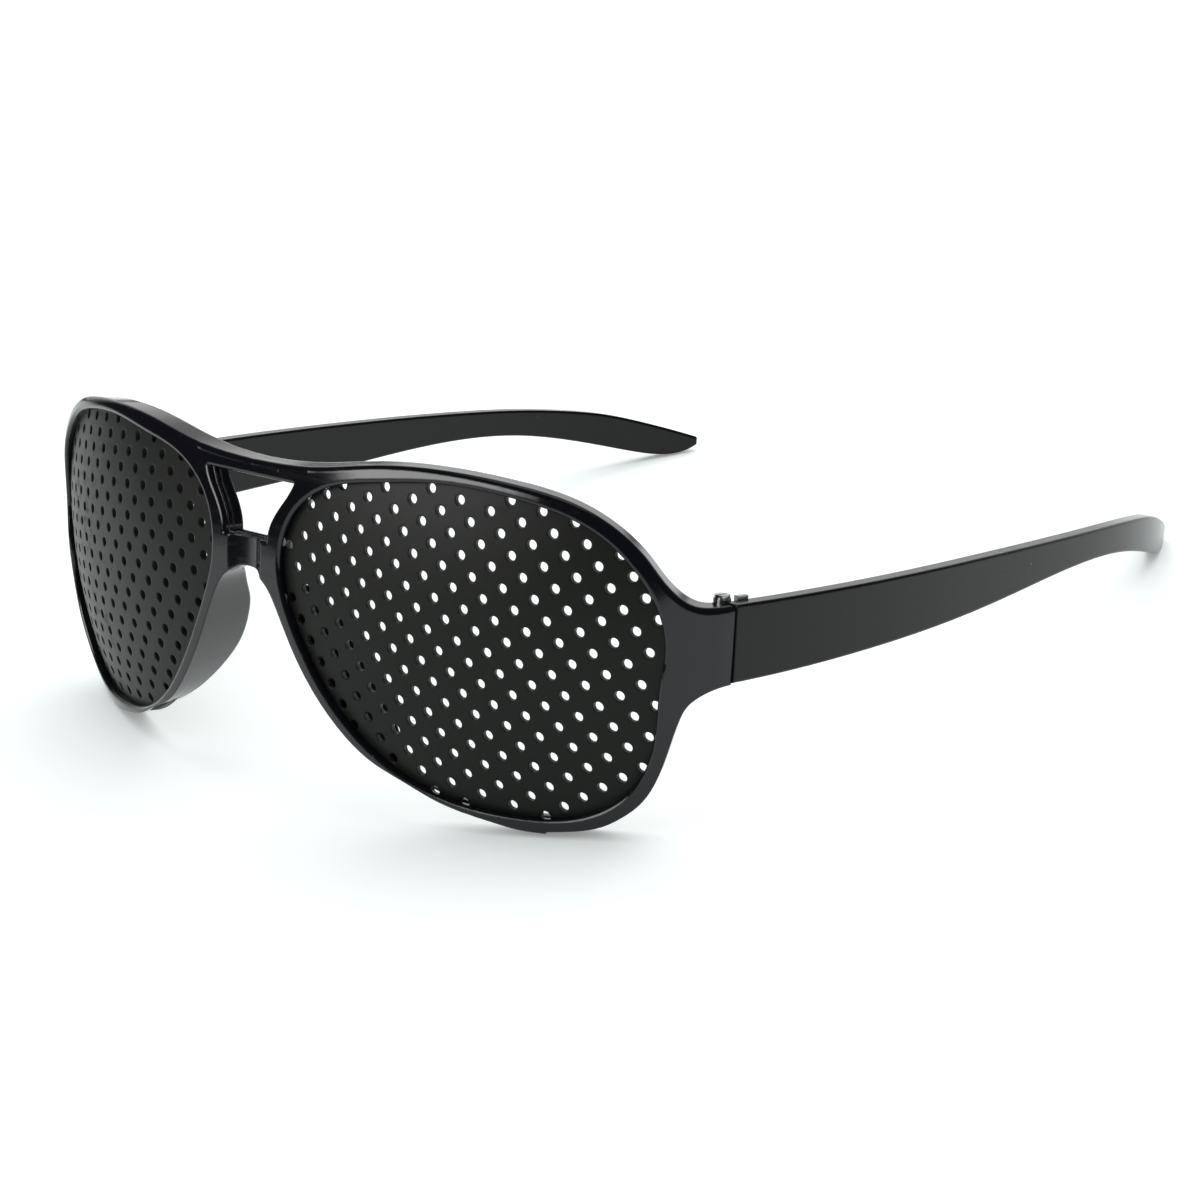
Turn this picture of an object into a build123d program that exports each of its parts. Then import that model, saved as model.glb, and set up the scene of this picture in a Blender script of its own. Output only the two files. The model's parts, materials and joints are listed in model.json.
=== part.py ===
from build123d import *
import os
from math import asin, atan2, ceil, cos, degrees, radians, sin, sqrt

# Pinhole glasses in millimetres. Everything is drawn as worn: x towards the wearer's left,
# y from the front of the brow back to the ears, z up from the lowest edge of the rims.
# At the end the glasses are laid down as they stand on a table, on rims and temple tips.

# Lens openings, the sizes that the front follows
opening_width = 60.7
opening_height = 47.5
nasal_edge = 30.55          # lens axis to the edge of the opening beside the nose
top_rim = 1.9
bottom_rim = 2.1
temporal_wall = 4.85        # edge of the opening to the outer face of the end piece

# Front moulding
face_radius = 87.4          # front face, base curve 6
face_height = 34.8          # height of the centre of that radius
flat_half_width = 12.1      # the brow is straight between the two face centres
bend_radius = 19.0          # turn from the face into the temples
front_depth = 3.8
end_length = 10.2           # edge of the opening back to the joint with the temples
split_gap = 0.2
lens_yaw = 17.5
side_yaw = 35.0             # draw of the outer rim walls
end_top = 35.6
end_bottom = 24.4
brow_height_at_nose = 48.3
bridge_underside = 32.4
bridge_scoop_radius = 6.0   # hollow across the front of the lower bridge
bridge_scoop_depth = 1.2
window_top = 46.0
window_bottom = 36.9
window_half_width = 9.3
brow_round = 0.9            # top edge of brow and end piece
edge_round = 0.5            # edges of the opening and the window
round_miss = 0.02           # how far an edge may lie off a face that it belongs to
cut_overrun = 4.0
tool_length = 160.0

# Lens
lens_lip = 1.36             # front face of the frame to the front of the lens
lens_thickness = 1.0
lens_grip = 0.8             # how far the lens reaches into its groove
groove_play = 0.1
lens_back_play = 0.05
hole_radius = 0.75
hole_pitch = 3.43
left_hole_turn = 32.4       # each blank is cut from the punched sheet at its own angle
left_hole_across = -0.14
left_hole_up = 0.43
right_hole_turn = 38.6
right_hole_across = 0.05
right_hole_up = 1.72
hole_edge_wall = 0.1

# Nose pads, moulded on the rims
pad_thickness = 2.3
pad_splay = 10.0            # the wall beside the nose spreads by this angle towards the back
pad_reach = 12.5            # front of the brow to the furthest point of the pad
pad_top = 31.0
pad_lean = 30.0             # across the thickness of the pad, from level
pad_wall = 0.3              # between the back of the lens and the pad
pad_span_share = 0.65       # the pad ends here on the way to the lowest point

# Temples
temple_length = 130.6
temple_thickness = 2.8
tip_inset = 16.3            # how far the tips curl inwards
tip_drop = 5.1
underside_rise = 7.55
temple_round = 0.4

# Hinges
pivot_inset = 3.7           # outer face to the pivot
pivot_back = 1.0            # joint to the pivot
barrel_radius = 1.3
barrel_height = 9.9
barrel_above_top = 0.3
barrel_room = 0.2
knuckle_gap = 0.1
screw_radius = 0.7
screw_play = 0.05
screw_head_radius = 1.15
screw_head_height = 0.5
slot_width = 0.3
slot_depth = 0.25
leaf_thickness = 0.9
front_leaf_length = 6.4
temple_leaf_length = 8.0
temple_leaf_turn = 9.0
temple_leaf_aside = 0.85    # middle of that leaf outside the pivot, so that it sits in the plastic
tab_start = 1.7             # pivot to the tab that stands up from the temple's leaf
tab_length = 1.9
tab_rise = 0.6              # above the plastic
leaf_margin = 0.9           # ends of the leaf plate inside the ends of the barrel

# Opening outline, from the temporal side anticlockwise, as shares of its half width and height
opening_shares = [
    (1.0, 0.03), (0.93, 0.505), (0.68, 0.815), (0.30, 0.965), (-0.075, 1.0), (-0.44, 0.95),
    (-0.735, 0.86), (-0.935, 0.65), (-1.0, 0.335), (-0.92, 0.0), (-0.705, -0.44),
    (-0.42, -0.77), (-0.075, -0.953), (0.27, -1.0), (0.585, -0.957), (0.815, -0.785),
    (0.95, -0.485),
]
# Top edge from the nose to the end piece, as shares of the side reach and the front height
top_edge_shares = [
    (0.139, 0.9485), (0.29, 0.987), (0.414, 1.0), (0.577, 0.985), (0.695, 0.949),
    (0.775, 0.892), (0.834, 0.82), (0.874, 0.75), (0.908, 0.707),
]
# Lower temporal edge from the end piece down to the lowest point, as the same shares
low_edge_shares = [
    (0.95, 0.449), (0.921, 0.416), (0.907, 0.375), (0.89, 0.292), (0.871, 0.207),
    (0.835, 0.118), (0.797, 0.07), (0.72, 0.021), (0.648, 0.003),
]
low_point_share = 0.25
# Nasal edge from the lowest point to the arch, as shares of the lowest point's place
# and of the height of the arch
nose_edge_shares = [
    (0.9, 0.02), (0.729, 0.078), (0.62, 0.146), (0.507, 0.214), (0.373, 0.371),
    (0.28, 0.539), (0.217, 0.687), (0.151, 0.86), (0.11, 0.934), (0.057, 0.985),
]
# Side of the window, as shares of its half width and of its height from the bottom
window_side_shares = [(0.49, 0.0), (0.565, 0.31), (0.7, 0.54), (0.85, 0.74), (1.0, 1.0)]
# Back edge of the nose pad, as shares of its reach and of its height
pad_edge_shares = [
    (0.35, 1.0), (0.51, 0.95), (0.655, 0.885), (0.825, 0.8), (0.935, 0.69), (1.0, 0.56),
    (0.96, 0.44), (0.865, 0.33), (0.735, 0.22), (0.59, 0.13),
]
# Temple centre line seen from above, as shares of its length and of the tip inset
temple_plan_shares = [
    (0.0, 0.0), (0.081, 0.092), (0.197, 0.166), (0.313, 0.178), (0.428, 0.141),
    (0.544, 0.074), (0.66, -0.037), (0.737, -0.147), (0.814, -0.313), (0.876, -0.491),
    (0.922, -0.656), (0.968, -0.853), (1.0, -1.0),
]
# Temple top edge, as shares of its length and of the tip drop
temple_top_shares = [
    (0.0, 0.0), (0.197, 0.108), (0.428, 0.206), (0.66, 0.225), (0.737, 0.186),
    (0.814, 0.069), (0.876, -0.127), (0.922, -0.402), (0.968, -0.735), (1.0, -1.0),
]
# Temple underside, as shares of its length and of its rise
temple_low_shares = [
    (0.0, 0.0), (0.197, 0.232), (0.428, 0.603), (0.66, 1.0), (0.737, 0.974),
    (0.814, 0.801), (0.876, 0.589), (0.922, 0.43), (0.968, 0.404), (1.0, 0.68),
]

# Worked out from the sizes above
opening_half_width = opening_width / 2
opening_half_height = opening_height / 2
front_height = bottom_rim + opening_height + top_rim
opening_across = opening_half_width - nasal_edge
opening_up = bottom_rim + opening_half_height - face_height
lens_front = face_radius - lens_lip
lens_back = lens_front - lens_thickness


def lens_point(across, up, radius):
    """A point on a face of this radius, given in the plane square to the lens axis."""
    out = sqrt(radius**2 - across**2 - up**2)
    x = flat_half_width + across * cos(radians(lens_yaw)) + out * sin(radians(lens_yaw))
    y = face_radius + across * sin(radians(lens_yaw)) - out * cos(radians(lens_yaw))
    return x, y


temporal_x, temporal_y = lens_point(opening_across + opening_half_width, opening_up, face_radius)
half_width = temporal_x + temporal_wall
split_depth = temporal_y + end_length
low_across = opening_across + low_point_share * opening_half_width
low_x, low_y = lens_point(low_across, -face_height, face_radius)


def side_reach_of(x, y):
    """How far along the side view a place lies."""
    return x * cos(radians(side_yaw)) + y * sin(radians(side_yaw))


end_reach = side_reach_of(half_width, split_depth)
low_reach = side_reach_of(low_x, low_y)
pivot_x = half_width - pivot_inset
pivot_y = split_depth + pivot_back
barrel_top = end_top + barrel_above_top
barrel_bottom = barrel_top - barrel_height
bend_angle = asin((half_width - flat_half_width - bend_radius) / (face_radius - bend_radius))

bend_x = flat_half_width + (face_radius - bend_radius) * sin(bend_angle)
bend_y = face_radius - (face_radius - bend_radius) * cos(bend_angle)

# Swings of the front's shell about its face centre, past the top and the bottom of the rims
sweep_up = degrees(asin((front_height + cut_overrun - face_height) / (face_radius - front_depth)))
sweep_down = degrees(asin((face_height + cut_overrun) / (face_radius - bend_radius)))
loop_steps = 240

front_view = Plane(origin=(0, 0, 0), x_dir=(1, 0, 0), z_dir=(0, -1, 0))
side_view = Plane(
    origin=(0, 0, 0),
    x_dir=(cos(radians(side_yaw)), sin(radians(side_yaw)), 0),
    z_dir=(sin(radians(side_yaw)), -cos(radians(side_yaw)), 0),
)
lens_view = Plane(
    origin=(flat_half_width, face_radius, face_height),
    x_dir=(cos(radians(lens_yaw)), sin(radians(lens_yaw)), 0),
    z_dir=(sin(radians(lens_yaw)), -cos(radians(lens_yaw)), 0),
)
profile_view = Plane(origin=(0, 0, 0), x_dir=(0, 1, 0), z_dir=(1, 0, 0))


def scaled(shares, width, height, across=0, up=0):
    """Turns a table of shares into points."""
    return [(across + a * width, up + b * height) for a, b in shares]


def loop_face(*parts):
    """A flat face inside lines that meet end to end."""
    return make_face([edge for part in parts for edge in part.edges()])


def drawn(face, view, before, behind):
    """A solid with this outline along the line of sight of the view."""
    return extrude(view.offset(before) * face, amount=-(before + behind))


def face_blank(inset, depth):
    """The front's shell from one depth below its face to another, for the left half."""
    end_x, end_y = half_width, split_depth + cut_overrun

    def line_at(below):
        radius = face_radius - below
        turn = bend_radius - below
        flat_end = (flat_half_width, below)
        face_end = (flat_half_width + radius * sin(bend_angle),
                    face_radius - radius * cos(bend_angle))
        face_mid = (flat_half_width + radius * sin(bend_angle / 2),
                    face_radius - radius * cos(bend_angle / 2))
        middle = (bend_angle + radians(90)) / 2
        bend_mid = (bend_x + turn * sin(middle), bend_y - turn * cos(middle))
        bend_end = (bend_x + turn, bend_y)
        return [Line((0, below), flat_end), ThreePointArc(flat_end, face_mid, face_end),
                ThreePointArc(face_end, bend_mid, bend_end), Line(bend_end, (bend_end[0], end_y))]

    outer = line_at(inset)
    inner = line_at(depth)
    ends = [Line((0, inset), (0, depth)), Line((end_x - inset, end_y), (end_x - depth, end_y))]
    face = Pos(0, 0, face_height) * loop_face(*outer, *inner, *ends)
    axis = Axis((0, face_radius, face_height), (1, 0, 0))
    return revolve(face.rotate(axis, -sweep_up), axis, sweep_up + sweep_down)


def lies_on_face(edge):
    """Whether an edge of the left half lies on the front's outer surface."""
    for spot in (edge @ 0, edge @ 0.5, edge @ 1):
        swing = sqrt((spot.Y - face_radius)**2 + (spot.Z - face_height)**2)
        if spot.X < flat_half_width:
            miss = swing - face_radius
        elif spot.X < flat_half_width + face_radius * sin(bend_angle):
            miss = sqrt((spot.X - flat_half_width)**2 + swing**2) - face_radius
        else:
            back = max(face_radius - swing - bend_y, -bend_radius)
            miss = sqrt((spot.X - bend_x)**2 + min(back, 0)**2) - bend_radius
        if abs(miss) > round_miss:
            return False
    return True


def cut_rounded(body, tool, radius):
    """Cuts with a tool and rounds the edge that it leaves on the front's outer surface."""
    result = body - tool
    return fillet([e for e in new_edges(body, tool, combined=result) if lies_on_face(e)], radius)


def side_outline():
    """The left half seen square to its side: brow, end piece and lower temporal rim."""
    start = (0, brow_height_at_nose)
    top_end = (end_reach + cut_overrun, end_top)
    low_end = (end_reach + cut_overrun, end_bottom)
    top = Spline([start, *scaled(top_edge_shares, end_reach, front_height), top_end],
                 tangents=[(1, 0), (1, 0)])
    low = Spline([low_end, *scaled(low_edge_shares, end_reach, front_height), (low_reach, 0)],
                 tangents=[(-1, 0), (-1, 0)])
    left = -cut_overrun
    return loop_face(top, Line(top_end, low_end), low,
                     Polyline((low_reach, 0), (left, left), (left, brow_height_at_nose), start))


def nose_outline():
    """The space under the bridge, from the mid plane to the lowest point of the rim."""
    edge = Spline([(low_x, 0), *scaled(nose_edge_shares, low_x, bridge_underside),
                   (0, bridge_underside)], tangents=[(-1, 0), (-1, 0)])
    left = -cut_overrun
    return loop_face(edge, Polyline((0, bridge_underside), (left, bridge_underside), (left, left),
                                    (low_x, left), (low_x, 0)))


def window_outline(grow=0):
    """Half of the window between the brow and the lower bridge."""
    points = scaled(window_side_shares, window_half_width, window_top - window_bottom,
                    up=window_bottom)
    points = [(x + grow, z) for x, z in points]
    return loop_face(Spline(points), Polyline(points[-1], (-cut_overrun, points[-1][1]),
                                              (-cut_overrun, points[0][1]), points[0]))


def opening_outline(grow=0):
    """The lens opening in the lens view, made larger all round by grow."""
    points = scaled(opening_shares, opening_half_width + grow, opening_half_height + grow,
                    opening_across, opening_up)
    return make_face(Spline(points, periodic=True))


def lens_layer(face, outer, inner):
    """The part of a ball shell that lies inside an outline of the lens view."""
    block = extrude(lens_view * face, amount=face_radius + cut_overrun)
    centre = Pos(flat_half_width, face_radius, face_height)
    return (block & centre * Sphere(outer)) - centre * Sphere(inner)


def box_between(low, high):
    """A box with these two corners."""
    size = [b - a for a, b in zip(low, high)]
    return Pos(*low) * Box(*size, align=(Align.MIN, Align.MIN, Align.MIN))


def post(radius, low, high):
    """An upright cylinder on the left hinge's pivot."""
    return Pos(pivot_x, pivot_y, low) * Cylinder(
        radius, high - low, align=(Align.CENTER, Align.CENTER, Align.MIN))


def spread_back(face):
    """A solid that runs back from the front view and spreads away from the nose."""
    way = Vector(sin(radians(pad_splay)), cos(radians(pad_splay)), 0)
    return extrude(Pos(way * -cut_overrun) * (front_view * face), amount=tool_length, dir=way)


def nose_pad():
    """A crescent behind the lens, which the nose space then cuts to the nasal rim's wall."""
    edge = [(low_x, 0), *scaled(nose_edge_shares, low_x, bridge_underside)]
    edge = [(x, z) for x, z in edge if x < pad_span_share * low_x]
    aside, up = pad_thickness * cos(radians(pad_lean)), pad_thickness * sin(radians(pad_lean))
    inner = [(x + aside, z + up) for x, z in edge]
    outer = [(x - aside, z - up) for x, z in edge]
    band = loop_face(Spline(outer), Line(outer[-1], inner[-1]), Spline(inner), Line(inner[0], outer[0]))
    body = spread_back(band)
    back = scaled(pad_edge_shares, pad_reach, pad_top)
    side = loop_face(Spline(back), Polyline(back[-1], (0, back[-1][1]), (0, back[0][1]), back[0]))
    body = body & extrude(profile_view * side, amount=tool_length)
    return body - face_blank(-2 * cut_overrun, lens_lip + lens_thickness + pad_wall)


def leaf_plate(length, turn=0, aside=0):
    """The flat plate of a hinge leaf, which starts beside the pivot."""
    low = barrel_bottom + leaf_margin
    high = barrel_top - leaf_margin
    plate = Pos(0, 0, low) * Box(leaf_thickness, length, high - low,
                                 align=(Align.CENTER, Align.MIN, Align.MIN))
    return Pos(pivot_x + aside, pivot_y, 0) * plate.rotate(Axis.Z, turn)


def temple_leaf_plate():
    """The plate of the temple's leaf with its tab, half sunk into the inner face."""
    plate = leaf_plate(temple_leaf_length, -temple_leaf_turn, temple_leaf_aside)
    tab = Pos(0, tab_start, middle_high) * Box(
        leaf_thickness, tab_length, end_top + tab_rise - middle_high,
        align=(Align.CENTER, Align.MIN, Align.MIN))
    return plate + Pos(pivot_x + temple_leaf_aside, pivot_y, 0) * tab.rotate(Axis.Z, -temple_leaf_turn)


def barrel_notch():
    """Room for the turning barrel at the corner of the plastic."""
    reach = barrel_radius + barrel_room
    inside = half_width - pivot_x + reach
    return box_between((half_width - 2 * inside, pivot_y - reach, barrel_bottom - barrel_room),
                       (pivot_x + reach, pivot_y + reach, end_top + cut_overrun))


def bridge_scoop():
    """The upright hollow across the front of the lower bridge."""
    low, high = bridge_underside - cut_overrun, window_bottom + cut_overrun
    return Pos(0, bridge_scoop_depth - bridge_scoop_radius, low) * Cylinder(
        bridge_scoop_radius, high - low, align=(Align.CENTER, Align.CENTER, Align.MIN))


def frame_half():
    """The left half of the front with its groove, pad and hinge pocket."""
    body = face_blank(0, front_depth)
    side = drawn(side_outline(), side_view, tool_length, tool_length)
    cut = body & side
    edges = [e for e in new_edges(body, side, combined=cut) if lies_on_face(e)]
    body = fillet([e for e in edges if (e @ 0.5).Z > end_top], brow_round)
    window = drawn(window_outline(), front_view, cut_overrun, tool_length)
    body = cut_rounded(body, window, edge_round)
    opening = extrude(lens_view * opening_outline(), amount=face_radius + cut_overrun)
    body = cut_rounded(body, opening, edge_round)
    body -= lens_layer(opening_outline(lens_grip + groove_play), lens_front,
                       lens_back - lens_back_play)
    body = (body + nose_pad()) - spread_back(nose_outline()) - bridge_scoop()
    end = split_depth - split_gap / 2
    body -= box_between((0, end, -cut_overrun), (tool_length, end + tool_length, tool_length))
    body -= barrel_notch()
    return body - leaf_plate(front_leaf_length, 180)


def inside_loop(point, loop):
    """Whether a point lies inside a closed row of points."""
    x, y = point
    found = False
    for (ax, ay), (bx, by) in zip(loop, loop[1:] + loop[:1]):
        if (ay > y) != (by > y) and x < ax + (y - ay) * (bx - ax) / (by - ay):
            found = not found
    return found


def hole_places(turn, across, up):
    """The holes of a square grid, turned in the lens view, that the opening leaves in sight."""
    inset = lens_grip - hole_radius - hole_edge_wall
    edge = opening_outline(inset).face().outer_wire()
    loop = [(p.X, p.Y) for p in (edge.position_at(i / loop_steps) for i in range(loop_steps))]
    turn = radians(turn)
    reach = ceil(opening_width / hole_pitch)
    places = []
    for row in range(-reach, reach + 1):
        for column in range(-reach, reach + 1):
            along, over = column * hole_pitch, row * hole_pitch
            place = (across + along * cos(turn) - over * sin(turn),
                     up + along * sin(turn) + over * cos(turn))
            if inside_loop(place, loop):
                places.append(place)
    return places


def lens(turn, across, up):
    """A curved disc with straight holes all over."""
    holes = Sketch() + [Pos(*place) * Circle(hole_radius) for place in hole_places(turn, across, up)]
    return lens_layer(opening_outline(lens_grip) - holes, lens_front, lens_back)


def temple():
    """The left temple: a band curved in plan, cut to its side outline."""
    root = half_width - temple_thickness / 2
    start = split_depth + split_gap / 2
    centre = [(x, y) for y, x in scaled(temple_plan_shares, temple_length, tip_inset, start, root)]
    line = Spline(centre)
    outer, inner = [], []
    for i in range(len(centre)):
        spot = line.position_at(i / (len(centre) - 1))
        way = line.tangent_at(i / (len(centre) - 1))
        side_x, side_y = way.Y * temple_thickness / 2, -way.X * temple_thickness / 2
        outer.append((spot.X + side_x, spot.Y + side_y))
        inner.append((spot.X - side_x, spot.Y - side_y))
    band = loop_face(Spline(outer), Line(outer[-1], inner[-1]), Spline(inner), Line(inner[0], outer[0]))
    top = scaled(temple_top_shares, temple_length, tip_drop, start, end_top)
    low = scaled(temple_low_shares, temple_length, underside_rise, start, end_bottom)
    side = loop_face(Spline(top), Line(top[-1], low[-1]), Spline(low), Line(low[0], top[0]))
    body = extrude(band, amount=tool_length) & extrude(profile_view * side, amount=tool_length)
    body = fillet([e for e in body.edges() if e.length > temple_length / 2], temple_round)
    body -= barrel_notch()
    return body - temple_leaf_plate()


knuckle_height = (barrel_height - 2 * knuckle_gap) / 3
middle_low = barrel_bottom + knuckle_height
middle_high = barrel_top - knuckle_height


def front_leaf():
    """The front's hinge leaf with the lower and upper knuckle."""
    body = leaf_plate(front_leaf_length, 180)
    body += post(barrel_radius, barrel_bottom, barrel_top)
    body -= post(barrel_radius + barrel_room, middle_low, middle_high)
    return body - post(screw_radius + screw_play, barrel_bottom, barrel_top)


def temple_leaf():
    """The temple's hinge leaf with the middle knuckle."""
    room = barrel_radius + barrel_room
    body = temple_leaf_plate() - post(room, barrel_bottom, middle_low + knuckle_gap)
    body -= post(room, middle_high - knuckle_gap, barrel_top)
    body += post(barrel_radius, middle_low + knuckle_gap, middle_high - knuckle_gap)
    return body - post(screw_radius + screw_play, barrel_bottom, barrel_top)


def hinge_screw():
    """The pin of the hinge with its slotted head."""
    body = post(screw_radius, barrel_bottom, barrel_top)
    body += post(screw_head_radius, barrel_top, barrel_top + screw_head_height)
    top = barrel_top + screw_head_height
    return body - box_between(
        (pivot_x - slot_width / 2, pivot_y - screw_head_radius, top - slot_depth),
        (pivot_x + slot_width / 2, pivot_y + screw_head_radius, top))


def rest_lean():
    """The angle by which the glasses lean back on rims and temple tips."""
    x, y = lens_point(low_across, -face_height, face_radius - front_depth)
    start = split_depth + split_gap / 2
    low = scaled(temple_low_shares, temple_length, underside_rise, start, end_bottom)
    return min(degrees(atan2(up, back - y)) for back, up in low)


left_half = frame_half()
pieces = {
    "frame_front": left_half + mirror(left_half, about=Plane.YZ),
    "left_pinhole_lens": lens(left_hole_turn, left_hole_across, left_hole_up),
    "right_pinhole_lens": mirror(lens(right_hole_turn, right_hole_across, right_hole_up), about=Plane.YZ),
}
for name, body in (("temple", temple()), ("front_hinge_leaf", front_leaf()),
                   ("temple_hinge_leaf", temple_leaf()), ("hinge_screw", hinge_screw())):
    pieces["left_" + name] = body
    pieces["right_" + name] = mirror(body, about=Plane.YZ)

laid = {name: body.rotate(Axis.X, -rest_lean()) for name, body in pieces.items()}
corners = [body.bounding_box() for body in laid.values()]
middle = (min(c.min.Y for c in corners) + max(c.max.Y for c in corners)) / 2
floor = min(c.min.Z for c in corners)
os.makedirs("parts", exist_ok=True)
for name, body in laid.items():
    export_step(Pos(0, -middle, -floor) * body, f"parts/{name}.step")
print("lean", rest_lean(), "moved", -middle, -floor)
lean = radians(-rest_lean())
print("pivot", pivot_x, pivot_y * cos(lean) - middle, pivot_y * sin(lean) - floor)
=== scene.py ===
import json
from math import cos, radians, sin, sqrt

import bpy
from mathutils import Euler, Matrix, Vector


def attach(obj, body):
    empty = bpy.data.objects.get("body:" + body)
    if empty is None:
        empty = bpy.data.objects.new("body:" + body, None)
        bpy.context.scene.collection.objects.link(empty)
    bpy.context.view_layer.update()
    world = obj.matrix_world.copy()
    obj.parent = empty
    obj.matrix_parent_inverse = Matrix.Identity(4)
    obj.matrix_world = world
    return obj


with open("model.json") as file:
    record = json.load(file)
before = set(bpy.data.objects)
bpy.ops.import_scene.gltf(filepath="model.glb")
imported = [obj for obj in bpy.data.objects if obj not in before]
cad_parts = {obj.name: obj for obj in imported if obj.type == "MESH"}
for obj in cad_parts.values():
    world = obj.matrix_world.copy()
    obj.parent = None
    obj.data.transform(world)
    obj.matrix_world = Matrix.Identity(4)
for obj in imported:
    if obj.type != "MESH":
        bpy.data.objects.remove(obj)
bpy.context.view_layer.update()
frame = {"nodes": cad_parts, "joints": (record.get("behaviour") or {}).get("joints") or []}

nodes = frame["nodes"]

# Front moulding: both rims, brow bar, bridge, end pieces and nose pads in one shot of black
# plastic, polished in the mould. The gloss is broken by a slow waviness, faint rub marks
# from a cloth and a few specks of dust.
millimetre = 0.001
edge_radius = 0.4 * millimetre           # how far the shading rounds a sharp edge
skin_depth = 0.1 * millimetre
grain_share = 0.12                       # of the waviness
hair_scales = (40.0, 900.0, 900.0)       # rub marks run along X
hair_range = (0.52, 0.68)
patch_scale = 45.0
rubbed_range = (0.42, 0.7)
speck_range = (0.075, 0.045)             # a speck fades out from its middle
dusty_range = (0.5, 0.62)
dust_colour = (0.30, 0.30, 0.29)
dust_most = 0.5


def add_node(tree, kind, spot, **settings):
    """A node of this kind at a place of the editor, with its settings."""
    node = tree.nodes.new("ShaderNode" + kind)
    node.location = spot
    for name, value in settings.items():
        setattr(node, name, value)
    return node


def noise(tree, spot, place, scale, detail):
    """A noise texture whose scale is a socket or a number."""
    node = add_node(tree, "TexNoise", spot)
    tree.links.new(place, node.inputs["Vector"])
    node.inputs["Detail"].default_value = detail
    if isinstance(scale, float):
        node.inputs["Scale"].default_value = scale
    else:
        tree.links.new(scale, node.inputs["Scale"])
    return node.outputs["Fac"]


def stretched(tree, spot, place, scales):
    """Places with each way scaled on its own, so that a noise on them runs in lines."""
    node = add_node(tree, "Mapping", spot)
    node.inputs["Scale"].default_value = scales
    tree.links.new(place, node.inputs["Vector"])
    return node.outputs["Vector"]


def remap(tree, spot, value, low, high, to_low=0.0, to_high=1.0):
    """Stretches a value from one range to another, clamped."""
    node = add_node(tree, "MapRange", spot)
    tree.links.new(value, node.inputs["Value"])
    for name, number in (("From Min", low), ("From Max", high), ("To Min", to_low), ("To Max", to_high)):
        node.inputs[name].default_value = number
    return node.outputs["Result"]


def math_node(tree, spot, operation, first, second):
    """A sum, product or other step on two values."""
    node = add_node(tree, "Math", spot, operation=operation)
    for socket, value in zip(node.inputs, (first, second)):
        if isinstance(value, (int, float)):
            socket.default_value = value
        else:
            tree.links.new(value, socket)
    return node.outputs[0]


def either(tree, spot, share, first, second):
    """A mix of two colours, each a colour or a socket."""
    mix = add_node(tree, "Mix", spot, data_type="RGBA")
    tree.links.new(share, mix.inputs[0])
    for socket, colour in ((mix.inputs[6], first), (mix.inputs[7], second)):
        if isinstance(colour, tuple):
            socket.default_value = (*colour, 1.0)
        else:
            tree.links.new(colour, socket)
    return mix.outputs[2]


def bump(tree, spot, height, strength, depth):
    """A bump node, linked to the shader's normal."""
    node = add_node(tree, "Bump", spot)
    node.inputs["Strength"].default_value = strength
    node.inputs["Distance"].default_value = depth
    tree.links.new(height, node.inputs["Height"])
    tree.links.new(node.outputs["Normal"], tree.nodes["Principled BSDF"].inputs["Normal"])
    return node


scale_names = ("Wave Scale", "Grain Scale", "Dust Scale")
moulded = bpy.data.node_groups.new("moulded_skin", "ShaderNodeTree")
for name in scale_names:
    moulded.interface.new_socket(name, in_out="INPUT", socket_type="NodeSocketFloat")
moulded.interface.new_socket("Place", in_out="INPUT", socket_type="NodeSocketVector")
for name in ("Height", "Rubbed", "Dust"):
    moulded.interface.new_socket(name, in_out="OUTPUT", socket_type="NodeSocketFloat")
skin_in = moulded.nodes.new("NodeGroupInput")
skin_out = moulded.nodes.new("NodeGroupOutput")
skin_in.location, skin_out.location = (-1100, 0), (200, 0)
skin_place = skin_in.outputs["Place"]
wave = noise(moulded, (-650, 200), skin_place, skin_in.outputs["Wave Scale"], 1.0)
grain = noise(moulded, (-650, 0), skin_place, skin_in.outputs["Grain Scale"], 3.0)
grain = math_node(moulded, (-450, 0), "MULTIPLY", grain, grain_share)
height = math_node(moulded, (-250, 150), "ADD", wave, grain)
hairs = noise(moulded, (-650, -250), stretched(moulded, (-850, -250), skin_place, hair_scales), 1.0, 4.0)
hairs = remap(moulded, (-450, -250), hairs, *hair_range)
patches = noise(moulded, (-650, -450), skin_place, patch_scale, 2.0)
rubbed = math_node(moulded, (-50, -300), "MULTIPLY", hairs,
                   remap(moulded, (-450, -450), patches, *rubbed_range))
cells = add_node(moulded, "TexVoronoi", (-650, -650), feature="F1")
moulded.links.new(skin_place, cells.inputs["Vector"])
moulded.links.new(skin_in.outputs["Dust Scale"], cells.inputs["Scale"])
specks = remap(moulded, (-450, -650), cells.outputs["Distance"], *speck_range)
dust = math_node(moulded, (-50, -600), "MULTIPLY", specks,
                 remap(moulded, (-450, -850), patches, *dusty_range))
for name, value in (("Height", height), ("Rubbed", rubbed), ("Dust", dust)):
    moulded.links.new(value, skin_out.inputs[name])


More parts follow.
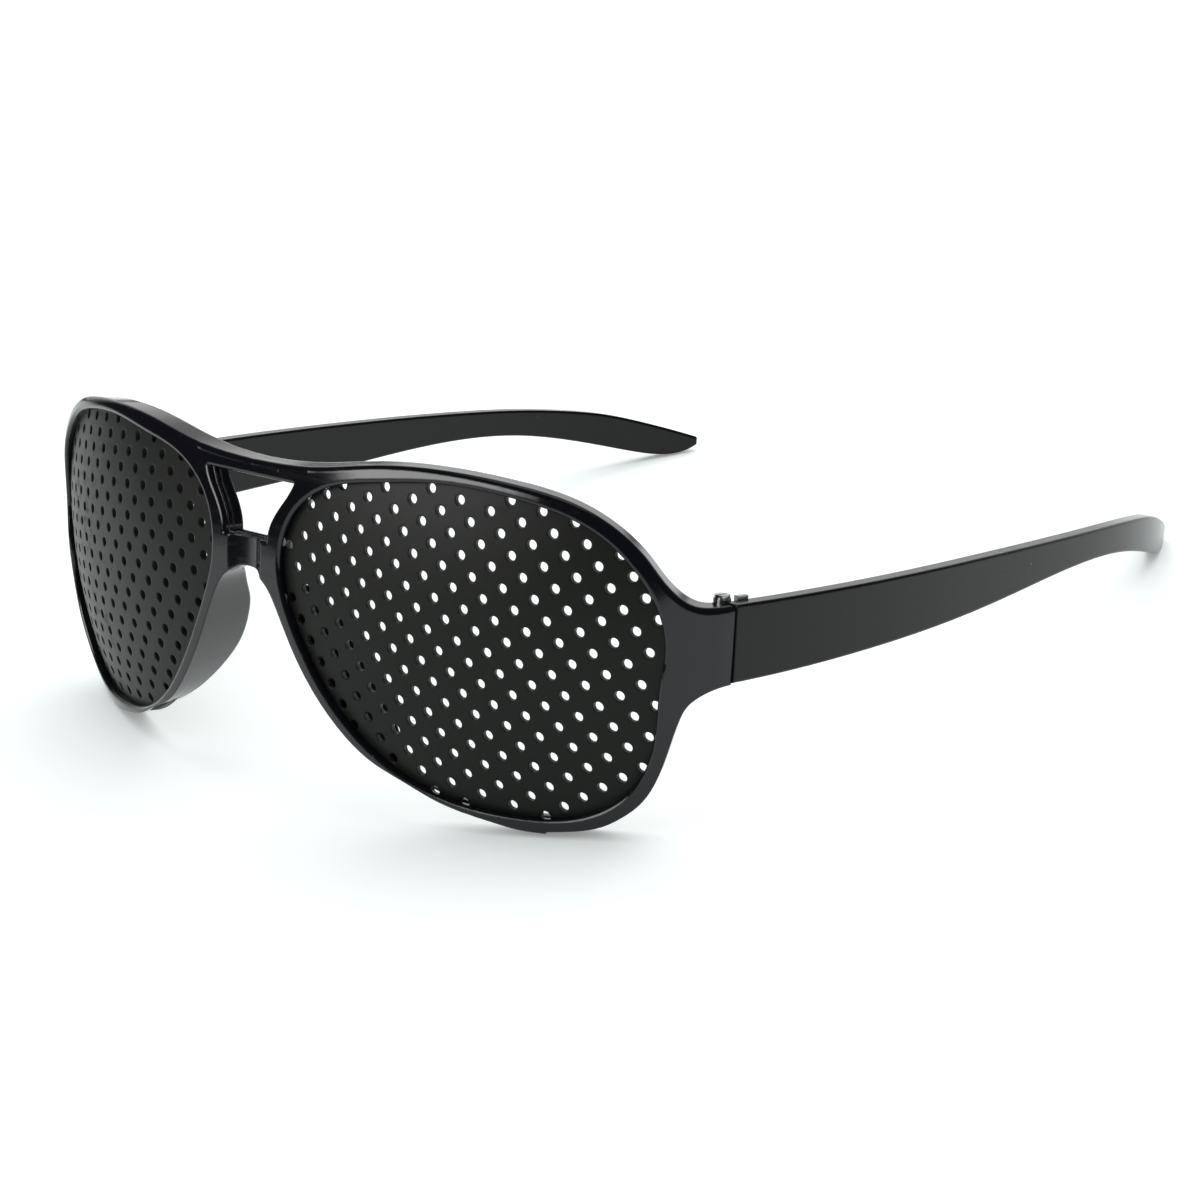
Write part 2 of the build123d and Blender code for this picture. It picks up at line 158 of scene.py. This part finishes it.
def plastic(name, colour, rough, specular, waviness, scales):
    """Black plastic with a roughness range and its own waviness, grain and dust."""
    material = bpy.data.materials.new(name)
    material.use_nodes = True
    tree = material.node_tree
    shader = tree.nodes["Principled BSDF"]
    place = add_node(tree, "TexCoord", (-900, 0)).outputs["Object"]
    skin = add_node(tree, "Group", (-700, 0), node_tree=moulded)
    tree.links.new(place, skin.inputs["Place"])
    for socket, value in zip(scale_names, scales):
        skin.inputs[socket].default_value = value
    dusty = math_node(tree, (-500, 250), "MULTIPLY", skin.outputs["Dust"], dust_most)
    tree.links.new(either(tree, (-300, 250), dusty, colour, dust_colour), shader.inputs["Base Color"])
    gloss = remap(tree, (-300, 0), skin.outputs["Rubbed"], 0.0, 1.0, *rough)
    tree.links.new(gloss, shader.inputs["Roughness"])
    edges = add_node(tree, "Bevel", (-500, -400), samples=6)
    edges.inputs["Radius"].default_value = edge_radius
    relief = bump(tree, (-300, -250), skin.outputs["Height"], waviness, skin_depth)
    tree.links.new(edges.outputs["Normal"], relief.inputs["Normal"])
    shader.inputs["Specular IOR Level"].default_value = specular
    return material


def dress(node, material):
    """Gives a CAD node its finish."""
    slots = nodes[node].data.materials
    slots.clear()
    slots.append(material)


gloss_black = plastic("gloss_black_plastic", colour=(0.004, 0.004, 0.006), rough=(0.10, 0.28),
                      specular=0.4, waviness=0.35, scales=(70.0, 2600.0, 240.0))
dress("frame_front", gloss_black)

# Ribs: thin ridges moulded in the wall of the small window, two of them round its sides and a
# third over the top of the lower bridge only. They are half sunk in the wall.
face_radius, face_height = 87.4, 34.8    # the brow is a straight piece of this round face
pivot_back, pivot_up = 29.895, 30.95     # the left hinge, from the brow's front and the rims' foot
rib_radius = 0.2
rib_depths = (1.0, 1.9)                  # behind the face
bridge_rib_depth = 2.8
wall_heights = (46.6, 43.63, 41.81, 39.72, 36.9)
wall_asides = (9.4, 7.91, 6.51, 5.25, 4.56)
rib_smooth_turn = radians(60)
fold = frame["joints"][0]
up_way = Vector(fold["axis"])
side_way = Vector((1.0, 0.0, 0.0))
back_way = up_way.cross(side_way)
pivot = Vector(fold["pos_m"])


def worn(aside, depth, height):
    """A place on the window's wall, from its place across, behind the face and up."""
    face = face_radius - sqrt(face_radius**2 - (height - face_height)**2)
    spot = pivot + millimetre * ((face + depth - pivot_back) * back_way + (height - pivot_up) * up_way)
    return Vector((millimetre * aside, spot.y, spot.z))


def rib(name, places):
    """A thin round ridge along places of the wall."""
    bpy.ops.object.select_all(action="DESELECT")
    bpy.ops.mesh.primitive_plane_add(size=millimetre, location=places[0])
    bpy.ops.object.mode_set(mode="EDIT")
    bpy.ops.mesh.merge(type="CENTER")
    for before, after in zip(places, places[1:]):
        bpy.ops.mesh.extrude_region_move(TRANSFORM_OT_translate={"value": after - before})
    bpy.ops.object.mode_set(mode="OBJECT")
    bpy.ops.object.convert(target="CURVE")
    piece = bpy.context.object
    piece.name = name
    piece.data.bevel_depth = rib_radius * millimetre
    piece.data.bevel_resolution = 2
    piece.data.use_fill_caps = True
    bpy.ops.object.convert(target="MESH")
    bpy.ops.object.transform_apply(location=True)
    bpy.ops.object.shade_smooth_by_angle(angle=rib_smooth_turn)
    piece.data.materials.clear()
    piece.data.materials.append(gloss_black)
    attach(piece, "front")


for number, depth in enumerate(rib_depths, 1):
    left = [worn(a, depth, h) for a, h in zip(wall_asides, wall_heights)]
    right = [worn(-a, depth, h) for a, h in zip(wall_asides, wall_heights)]
    rib(f"window_rib_{number}", left + right[::-1])
bridge_top, bridge_half = wall_heights[-1], wall_asides[-1]
rib("bridge_rib", [worn(a, bridge_rib_depth, bridge_top) for a in (bridge_half, -bridge_half)])

# Pinhole lenses: opaque sheet, one millimetre thick, pressed to the base curve and punched
# with a square grid of round holes. The face is matt with a fine grain.
lens_black = plastic("matt_black_lens_sheet", colour=(0.012, 0.0125, 0.011), rough=(0.38, 0.55),
                     specular=0.12, waviness=0.6, scales=(130.0, 5200.0, 150.0))
for side in ("left", "right"):
    dress(side + "_pinhole_lens", lens_black)

# Temples: injection moulded arms with a satin skin, flat outside, with a softer gloss than
# the front.
satin_black = plastic("satin_black_plastic", colour=(0.005, 0.005, 0.005), rough=(0.17, 0.32),
                      specular=0.25, waviness=0.5, scales=(60.0, 3800.0, 220.0))
for side in ("left", "right"):
    dress(side + "_temple", satin_black)

# Hinges: stamped leaves with three knuckles, nickel-plated, and a slotted bright screw. The
# plating shows fine drawing lines along the leaf and is duller in cloudy patches.
line_range = (0.3, 0.7)
line_relief = 0.4
line_depth = 0.03 * millimetre
cloud_scale = 700.0
cloud_range = (0.35, 0.6)
dull_share = 0.55                        # of the bright colour


def metal(name, colour, rough, line_scales):
    """Plated metal with fine lines one way and a cloudy dullness."""
    material = bpy.data.materials.new(name)
    material.use_nodes = True
    tree = material.node_tree
    shader = tree.nodes["Principled BSDF"]
    shader.inputs["Metallic"].default_value = 1.0
    place = add_node(tree, "TexCoord", (-1000, 0)).outputs["Object"]
    lines = noise(tree, (-600, 150), stretched(tree, (-800, 150), place, line_scales), 1.0, 3.0)
    clouds = remap(tree, (-400, 250), noise(tree, (-600, -100), place, cloud_scale, 2.0), *cloud_range)
    dull = tuple(dull_share * c for c in colour)
    tree.links.new(either(tree, (-200, 250), clouds, dull, colour), shader.inputs["Base Color"])
    tree.links.new(remap(tree, (-400, 0), lines, *line_range, *rough), shader.inputs["Roughness"])
    bump(tree, (-200, -200), lines, line_relief, line_depth)
    return material


leaf_nickel = metal("drawn_nickel_plate", colour=(0.62, 0.61, 0.58), rough=(0.22, 0.45),
                    line_scales=(9000.0, 300.0, 9000.0))
screw_steel = metal("turned_bright_steel", colour=(0.66, 0.66, 0.67), rough=(0.15, 0.35),
                    line_scales=(5000.0, 5000.0, 600.0))
for side in ("left", "right"):
    dress(side + "_front_hinge_leaf", leaf_nickel)
    dress(side + "_temple_hinge_leaf", leaf_nickel)
    dress(side + "_hinge_screw", screw_steel)

# Table: a white seamless sheet under the glasses, wide enough to fill every view. It shows a
# little brighter than it is lit, to the eye and in the gloss, so that it stays white there and
# keeps a faint shadow. Far out it carries a painted shade that only the gloss sees: a dark
# painted reflection, not a colour of the sheet.
table_reach = 6.0
lit_reach, dark_reach = 0.55, 1.1        # from the glasses, where the gloss sees it white and where it sees the painted shade
white = (1.0, 1.0, 1.0)
sheet_white = (0.95, 0.96, 0.96)
# painted shade: the colour the far table shows in reflections only
painted_gloss_shade_colour = (0.02, 0.02, 0.02)
sheet_rough = 0.9
sheet_specular = 0.1
sheet_glow = 0.22
bpy.ops.object.select_all(action="DESELECT")
bpy.ops.mesh.primitive_plane_add(size=2 * table_reach, location=(0, 0, 0))
table = bpy.context.object
table.name = "white_table"
sheet = bpy.data.materials.new("white_table_sheet")
sheet.use_nodes = True
sheet_tree = sheet.node_tree
sheet_shader = sheet_tree.nodes["Principled BSDF"]
sheet_shader.inputs["Roughness"].default_value = sheet_rough
sheet_shader.inputs["Specular IOR Level"].default_value = sheet_specular
sheet_shader.inputs["Emission Color"].default_value = (*white, 1.0)
sheet_rays = add_node(sheet_tree, "LightPath", (-900, 0)).outputs
away = add_node(sheet_tree, "VectorMath", (-1100, -300), operation="LENGTH")
sheet_tree.links.new(add_node(sheet_tree, "TexCoord", (-1300, -300)).outputs["Object"], away.inputs[0])
# painted shade in the gloss: past lit_reach the table fades to the dark colour and loses its glow for glossy
# rays
gloss_shade_share = remap(sheet_tree, (-900, -300), away.outputs["Value"], lit_reach, dark_reach)
gloss_shade_share = math_node(sheet_tree, (-700, -300), "MULTIPLY", gloss_shade_share, sheet_rays["Is Glossy Ray"])
shade = either(sheet_tree, (-300, -300), gloss_shade_share, sheet_white, painted_gloss_shade_colour)
sheet_tree.links.new(shade, sheet_shader.inputs["Base Color"])
shown = math_node(sheet_tree, (-700, 0), "MAXIMUM", sheet_rays["Is Camera Ray"], sheet_rays["Is Glossy Ray"])
shown = math_node(sheet_tree, (-500, 0), "MAXIMUM", shown, sheet_rays["Is Transmission Ray"])
shown = math_node(sheet_tree, (-400, 0), "SUBTRACT", shown, gloss_shade_share)
glow = math_node(sheet_tree, (-200, 0), "MULTIPLY", shown, sheet_glow)
sheet_tree.links.new(glow, sheet_shader.inputs["Emission Strength"])
table.data.materials.append(sheet)

# Studio: an even soft light and a broad lamp above for the colours. The gloss sees a dark room
# with a white wall behind the glasses, the middle of that lamp, and a card in front that draws
# the streak on the brow.
soft_light = (0.60, 0.66, 0.65)
dark_room = (0.035, 0.035, 0.038)
card_white = (8.0, 8.0, 8.0)
lamp_level = 1.6
lamp_spread = radians(75)
overhead_tilt = (radians(-25), radians(-12), 0)
lamp_way = Euler(overhead_tilt).to_matrix() @ Vector((0, 0, 1))
wall_way = (-0.50, 0.87, 0.0)
card_way = (-0.33, -0.86, 0.40)
round_shape = (1.0, 1.0, 1.0)
low_wall_shape = (1.0, 1.0, 2.2)         # a larger last number makes a patch wider than high
low_card_shape = (1.0, 1.0, 1.8)
wall_edge = (0.50, 0.80)
lamp_edge = (0.93, 0.98)
card_edge = (0.91, 0.95)
room = bpy.data.worlds.new("studio_room")
bpy.context.scene.world = room
room.use_nodes = True
room.cycles.sampling_method = "NONE"
room_tree = room.node_tree
direction = add_node(room_tree, "TexCoord", (-1400, 0)).outputs["Generated"]
room_rays = add_node(room_tree, "LightPath", (-800, 300)).outputs


def patch(row, way, shape, edge):
    """How much of a soft-edged patch of the room lies each way, from 0 to 1."""
    flat = add_node(room_tree, "VectorMath", (-1200, row), operation="MULTIPLY")
    room_tree.links.new(direction, flat.inputs[0])
    flat.inputs[1].default_value = shape
    level = add_node(room_tree, "VectorMath", (-1075, row), operation="NORMALIZE")
    room_tree.links.new(flat.outputs[0], level.inputs[0])
    toward = add_node(room_tree, "VectorMath", (-950, row), operation="DOT_PRODUCT")
    room_tree.links.new(level.outputs[0], toward.inputs[0])
    toward.inputs[1].default_value = Vector(a * b for a, b in zip(way, shape)).normalized()
    return remap(room_tree, (-800, row), toward.outputs["Value"], *edge)


gloss = either(room_tree, (-650, 0), patch(0, wall_way, low_wall_shape, wall_edge), dark_room, white)
gloss = either(room_tree, (-550, 0), patch(-300, lamp_way, round_shape, lamp_edge), gloss, white)
gloss = either(room_tree, (-450, 0), patch(-600, card_way, low_card_shape, card_edge), gloss, card_white)
unseen = either(room_tree, (-350, 0), room_rays["Is Glossy Ray"], soft_light, gloss)
seen = math_node(room_tree, (-600, 300), "MAXIMUM", room_rays["Is Camera Ray"],
                 room_rays["Is Transmission Ray"])
backdrop = either(room_tree, (-200, 0), seen, unseen, white)
room_tree.links.new(backdrop, room_tree.nodes["Background"].inputs["Color"])
lamp = bpy.data.lights.new("overhead_lamp", "SUN")
lamp.energy = lamp_level
lamp.angle = lamp_spread
overhead = bpy.data.objects.new("overhead_lamp", lamp)
overhead.rotation_euler = overhead_tilt
overhead.visible_glossy = False
bpy.context.scene.collection.objects.link(overhead)

# Camera: a long lens, low over the table and off to the wearer's left, slightly rolled.
camera_place = Vector((0.36376, -0.37265, 0.19494))
camera_azimuth = radians(44.637)
camera_height = radians(20.031)
camera_roll = radians(-5.363)
image_size = 1200
focal_pixels = 3365.8
sensor_width = 36.0
near_clip = 0.01
view_back = Vector((sin(camera_azimuth) * cos(camera_height), -cos(camera_azimuth) * cos(camera_height),
                    sin(camera_height)))
view_right = Vector((cos(camera_azimuth), sin(camera_azimuth), 0))
view_right = Matrix.Rotation(camera_roll, 3, view_back) @ view_right
view_up = view_back.cross(view_right)
camera_data = bpy.data.cameras.new("camera")
camera_data.sensor_width = sensor_width
camera_data.lens = focal_pixels / image_size * sensor_width
camera_data.clip_start = near_clip
camera = bpy.data.objects.new("camera", camera_data)
camera.matrix_world = Matrix.Translation(camera_place) @ Matrix(
    (view_right, view_up, view_back)).transposed().to_4x4()
bpy.context.scene.collection.objects.link(camera)
bpy.context.scene.camera = camera
bpy.context.scene.view_settings.view_transform = "Standard"
